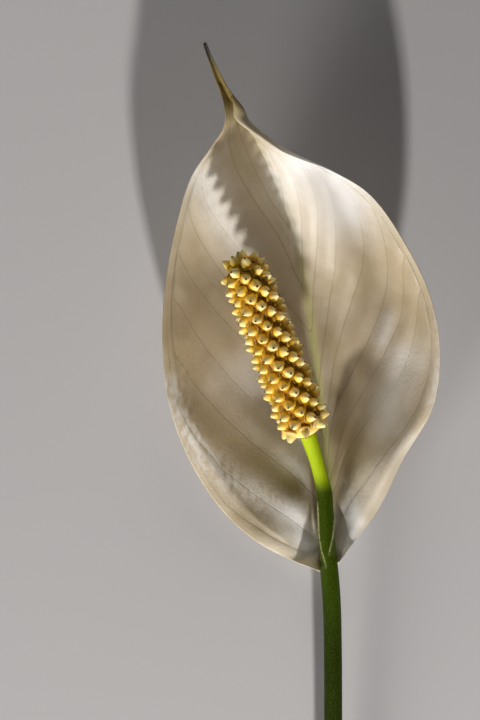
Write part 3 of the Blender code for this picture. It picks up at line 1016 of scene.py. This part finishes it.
        places, ribs, edges = np.zeros((*size, 3)), np.zeros(size), np.zeros(size)
        for row, at in enumerate(ats):
            halves = {side: self.half(at, side) for side in Side}
            for column, share in enumerate(shares):
                section = halves[Side.RIGHT if share >= 0.0 else Side.LEFT]
                reach, height = section.point(abs(share))
                x = section.middle.x + section.out.x * reach
                y = section.middle.y + section.out.y * reach
                z = section.middle.z + self.blade + height - self.hollow_depth(x, y)
                point = Vector((x, y, z))
                point.z += self.relief(at, abs(share), numbers[row, column], point)
                point = self.clear_of_stalk(point) if at < self.clasp_end else point
                point.z = max(point.z, self.blade)
                places[row, column] = point
                ribs[row, column] = abs(share) * section.width
                edges[row, column] = (section.strip * min(2.0 - abs(share), 1.0)
                                      + section.width * max(1.0 - abs(share), 0.0))

        bm = bmesh.new()
        grid = bmesh.ops.create_grid(bm, x_segments=len(shares) - 1, y_segments=len(ats) - 1,
                                     size=1.0)["verts"]
        order = []
        for vert in grid:
            column = round((vert.co.x + 1.0) / 2.0 * (len(shares) - 1))
            row = round((vert.co.y + 1.0) / 2.0 * (len(ats) - 1))
            order.append((row, column))
            vert.co = places[row, column]
        piece = finished_piece("spathe_blade", bm, self.finish.material(), "spathe", "spathe")
        # Shares of painted highlights, painted shade and painted light are stored on the points
        # with the veins
        grids = {"vein": numbers, "vein_gap": self.vein_gaps(places, numbers), "rib": ribs,
                 "edge": edges, "painted_highlight": self.streak_shares(places, self.painted_highlights),
                 "dusk": self.streak_shares(places, self.painted_shades),
                 "fair": self.streak_shares(places, self.painted_lights)}
        rows, columns = np.transpose(order)
        keep_values(piece, {name: values[rows, columns] for name, values in grids.items()})
        keep_values(piece, {"along": ats_array[rows]})
        weights = piece.vertex_groups.new(name="thickness")
        for index, (row, column) in enumerate(order):
            thin = smooth_step(0.0, self.thin_width, float(edges[row, column]))
            thin *= 1.0 - smooth_step(*self.thin_tail, ats[row])
            weights.add([index], thin, "REPLACE")
        shell = piece.modifiers.new("thickness", "SOLIDIFY")
        shell.thickness = self.blade * MM
        shell.offset = -1.0
        shell.vertex_group = "thickness"
        shell.thickness_vertex_group = self.thin_edge
        return piece

    @staticmethod
    def streak_shares(places: np.ndarray, streaks: Sequence[Streak]) -> np.ndarray:
        """How much of a soft streak lies at each point.

        Args:
            places: Points of the blade by row and column.
            streaks: The streaks.

        Returns:
            A share from 0 to 1 for each point.
        """
        shares = np.zeros(places.shape[:2])
        for half_width, strength, line in streaks:
            for start, end in zip(line[:-1], line[1:]):
                start, run = np.array(start), np.array(end) - np.array(start)
                part = np.clip(((places[..., :2] - start) @ run) / (run @ run), 0.0, 1.0)
                away = places[..., :2] - start - part[..., None] * run
                share = strength * np.exp(-(away * away).sum(-1) / half_width ** 2)
                shares = np.maximum(shares, share)
        return shares

    @staticmethod
    def vein_gaps(places: np.ndarray, numbers: np.ndarray) -> np.ndarray:
        """Millimetres on the blade for each step of the veins' running number.

        Args:
            places: Points of the blade by row and column.
            numbers: Running numbers of the veins.

        Returns:
            One distance for each point.
        """
        along, across = np.gradient(places, axis=0), np.gradient(places, axis=1)
        up, aside = np.gradient(numbers, axis=0), np.gradient(numbers, axis=1)
        e = (along * along).sum(-1)
        f = (along * across).sum(-1)
        g = (across * across).sum(-1)
        area = np.maximum(e * g - f * f, 1e-9)
        steep = (g * up ** 2 - 2.0 * f * up * aside + e * aside ** 2) / area
        return np.clip(1.0 / np.sqrt(np.maximum(steep, 1e-9)), 0.3, 14.0)


@dataclass
class Spadix:
    """Thick spike with florets in a spiral: each is a blunt cone in a collar of scales."""

    base: Vector = field(default_factory=lambda: Vector((-5.0, 30.5, 14.0)))
    top: Vector = field(default_factory=lambda: Vector((-20.6, 69.9, 29.8)))
    radius_base: float = 4.35
    radius_top: float = 3.75
    dome: float = 3.6
    turn: float = math.radians(48.4)
    turn_dome: float = math.radians(137.5)
    # Tilt up to which the flank's spiral goes on over the dome, and the step in tilt there
    spiral_end: float = 0.55
    tilt_step: float = 0.082
    rise: float = 0.335
    start: float = 0.8
    first_angle: float = 0.4
    # Core radius at the foot and its growth, and the tilt of the first florets and its span
    foot_radius: Row = (3.3, 0.9)
    foot_tilt: float = -0.95
    foot_span: Row = (0.6, 4.8)
    lean: float = 0.18
    size_spread: float = 0.08
    sides: int = 10
    variants: int = 6
    seed: int = 11
    # How far the collars' and the cones' outlines swing about a circle
    collar_swing: float = 0.055
    cone_swing: float = 0.13
    cone_height: float = 2.34
    rim_height: float = 0.17
    collar_rings: int = 2
    core_sides: int = 28
    # Foot of the core and profile of a floret from its collar to its tip: height and radius
    core_foot: Table = ((0.25, 1.9), (0.35, 2.9), (0.8, 3.7), (1.6, 4.2))
    profile: Table = (
        (-0.45, 1.5), (0.17, 1.5), (0.08, 1.34), (0.85, 1.16), (1.55, 0.8), (2.1, 0.42),
        (2.34, 0.18),
    )
    finish: FloretFinish = field(default_factory=FloretFinish)

    def places(self) -> list[tuple[float, float, float, float]]:
        """Works out where the florets stand.

        Returns:
            Distance along the axis, core radius, angle and tilt of each.
        """
        length = (self.top - self.base).length
        flank = length - self.dome
        found = []
        run, angle = self.start, self.first_angle
        while run < flank:
            radius = self.radius_base + (self.radius_top - self.radius_base) * run / length
            narrow = self.foot_radius[0] + self.foot_radius[1] * run
            tilt = self.foot_tilt * (1.0 - smooth_step(*self.foot_span, run))
            found.append((run, min(radius, narrow), angle, tilt))
            run += self.rise
            angle += self.turn
        tilt = 0.0
        while tilt < 1.5:
            found.append((flank + self.dome * math.sin(tilt), self.radius_top * math.cos(tilt),
                          angle, tilt))
            tilt += self.tilt_step / max(math.cos(tilt), 0.25)
            angle += self.turn if tilt < self.spiral_end else self.turn_dome
        return found

    def lathe(self, bm: bmesh.types.BMesh, profile: Table, sides: int,
              wobble: Callable[[float, int], float]) -> None:
        """Turns a profile round +Z into a closed knob.

        Args:
            bm: Mesh to add it to.
            profile: Heights and radii.
            sides: Sides round.
            wobble: Factor of the radius by angle and ring.
        """
        loops = []
        for number, (height, radius) in enumerate(profile):
            ring = bmesh.ops.create_circle(bm, segments=sides, radius=radius)["verts"]
            for vert in ring:
                factor = wobble(math.atan2(vert.co.y, vert.co.x), number)
                vert.co = Vector((vert.co.x * factor, vert.co.y * factor, height))
            loops.append(ring_edges(ring))
        close_tube(bm, loops)
        bmesh.ops.recalc_face_normals(bm, faces=bm.faces)

    def floret(self, chance: random.Random) -> tuple[bpy.types.Mesh, list[float], list[float]]:
        """Makes one floret at the origin.

        Args:
            chance: Source of its small differences.

        Returns:
            Its mesh, and the share of its height and of scale rim for each point.
        """
        phase, corners = chance.uniform(0.0, 6.28), chance.choice((3, 4))
        scale_phase = chance.uniform(0.0, 6.28)

        def wobble(angle: float, ring: int) -> float:
            """Cornered cone in a collar of overlapping scales.

            Args:
                angle: Angle round the axis.
                ring: Number of the ring.

            Returns:
                Factor of the radius.
            """
            if ring < self.collar_rings:
                return 1.0 + self.collar_swing * math.cos(4.0 * angle + scale_phase)
            return 1.0 + self.cone_swing * math.cos(corners * angle + phase)

        bm = bmesh.new()
        self.lathe(bm, self.profile, self.sides, wobble)
        heights, rims = [], []
        for vert in bm.verts:
            heights.append(min(max(vert.co.z / self.cone_height, 0.0), 1.0))
            rims.append(1.0 if abs(vert.co.z - self.rim_height) < 0.02 else 0.0)
            if vert.co.z > 0.6:
                place = vert.co * 0.9 + Vector((phase, 0, 0))
                vert.co += Vector((0.05, 0.05, 0.0)) * noise.noise(place)
        mesh = bpy.data.meshes.new("floret")
        bm.to_mesh(mesh)
        bm.free()
        return mesh, heights, rims

    def build(self) -> bpy.types.Object:
        """Builds the core with its florets.

        Returns:
            The finished piece.
        """
        axis = self.top - self.base
        length = axis.length
        trunk = ring_matrix(self.base, axis)
        chance = random.Random(self.seed)
        florets = [self.floret(chance) for _ in range(self.variants)]
        bm = bmesh.new()
        core = [*self.core_foot]
        core += [(length * part / 12, self.radius_base
                  + (self.radius_top - self.radius_base) * part / 12) for part in range(1, 11)]
        core += [(length - self.dome + self.dome * math.sin(tilt), self.radius_top * math.cos(tilt))
                 for tilt in (0.0, 0.3, 0.6, 0.9, 1.2, 1.42)]
        self.lathe(bm, core, self.core_sides, lambda angle, ring: 1.0)
        bmesh.ops.transform(bm, matrix=trunk, verts=bm.verts)
        count = len(bm.verts)
        foot_end = [1.0 - smooth_step(1.0, 2.5, (vert.co - self.base).dot(axis) / length)
                    for vert in bm.verts]
        values: dict[str, list[float]] = {"height": [0.6 * share for share in foot_end],
                                          "rim": [0.0] * count, "low": foot_end,
                                          "tone": [0.5] * count}
        for run, radius, angle, tilt in self.places():
            outward = Vector((math.cos(angle) * math.cos(tilt), math.sin(angle) * math.cos(tilt),
                              math.sin(tilt)))
            foot = Vector((math.cos(angle) * radius, math.sin(angle) * radius, run))
            lean = Vector((chance.uniform(-self.lean, self.lean),
                           chance.uniform(-self.lean, self.lean), self.lean / 3.0))
            stand = ring_matrix(trunk @ foot, trunk.to_3x3() @ (outward + lean))
            size = chance.uniform(1.0 - self.size_spread, 1.0 + self.size_spread)
            stand = stand @ Matrix.Scale(size, 4)
            mesh, heights, rims = chance.choice(florets)
            copy = mesh.copy()
            copy.transform(stand)
            bm.from_mesh(copy)
            bpy.data.meshes.remove(copy)
            values["height"] += heights
            values["rim"] += rims
            values["low"] += [1.0 - smooth_step(1.5, 5.5, run)] * len(heights)
            values["tone"] += [chance.random()] * len(heights)
        for mesh, _, _ in florets:
            bpy.data.meshes.remove(mesh)
        piece = finished_piece("spadix_florets", bm, self.finish.material(), "spadix", "spadix")
        keep_values(piece, values)
        return piece


@dataclass(frozen=True)
class Lamp:
    """Square lamp: the way to it from the blade, its distance and side in metres, and watts."""

    name: str
    way: Row
    distance: float
    side: float
    power: float
    colour: Colour

    def hang(self, target: Vector) -> None:
        """Hangs the lamp.

        Args:
            target: Place that it looks at, in metres.
        """
        light = bpy.data.lights.new(self.name, "AREA")
        light.energy = self.power
        light.size = self.side
        light.color = self.colour
        holder = placed(self.name, light)
        away = Vector(self.way).normalized() * self.distance
        holder.location = target + away
        holder.rotation_euler = away.to_track_quat("Z", "Y").to_euler()


@dataclass
class Studio:
    """Pale floor, camera straight above and the lights."""

    camera_place: Row = (-14.08, 46.37, 628.5)
    camera_lens: float = 131.9
    target: Row = (-0.008, 0.048, 0.005)
    lamps: Sequence[Lamp] = (
        Lamp("low_spot", (0.12, -0.9, 0.305), 1.5, 0.075, 23.5, (1.0, 0.98, 0.96)),
        Lamp("soft_box", (-0.56, -0.74, 0.26), 1.25, 0.42, 8.8, (1.0, 0.975, 0.94)),
        Lamp("top_box", (0.1, 0.9, 0.5), 1.2, 0.6, 2.0, (1.0, 0.96, 0.9)),
    )
    ambient: float = 0.035
    floor: FloorFinish = field(default_factory=FloorFinish)

    def build(self) -> None:
        """Sets up the floor, the lights and the camera."""
        bm = bmesh.new()
        bmesh.ops.create_grid(bm, x_segments=2, y_segments=2, size=3.0)
        mesh = bpy.data.meshes.new("floor")
        bm.to_mesh(mesh)
        bm.free()
        mesh.materials.append(self.floor.material())
        floor = placed("floor", mesh)

        for lamp in self.lamps:
            lamp.hang(Vector(self.target))
        world = bpy.data.worlds.new("studio")
        world.use_nodes = True
        sky = world.node_tree.nodes["Background"].inputs
        sky["Color"].default_value = (0.95, 0.95, 1.0, 1.0)
        sky["Strength"].default_value = self.ambient
        bpy.context.scene.world = world
        bpy.context.scene.view_settings.view_transform = "Standard"

        lens = bpy.data.cameras.new("camera")
        lens.lens = self.camera_lens
        lens.clip_start = 0.01
        camera = placed("camera", lens)
        camera.location = Vector(self.camera_place) * MM
        bpy.context.scene.camera = camera


def main() -> None:
    """Builds the pieces in order."""
    logging.basicConfig(level=logging.INFO, format="%(message)s")
    stalk = Stalk()
    pieces = [stalk.build(), Spathe(stalk=stalk).build(), Spadix().build()]
    for piece in pieces:
        LOG.info("%s: %d faces", piece.name, len(piece.data.polygons))
    Studio().build()
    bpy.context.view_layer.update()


if __name__ == "__main__":
    main()
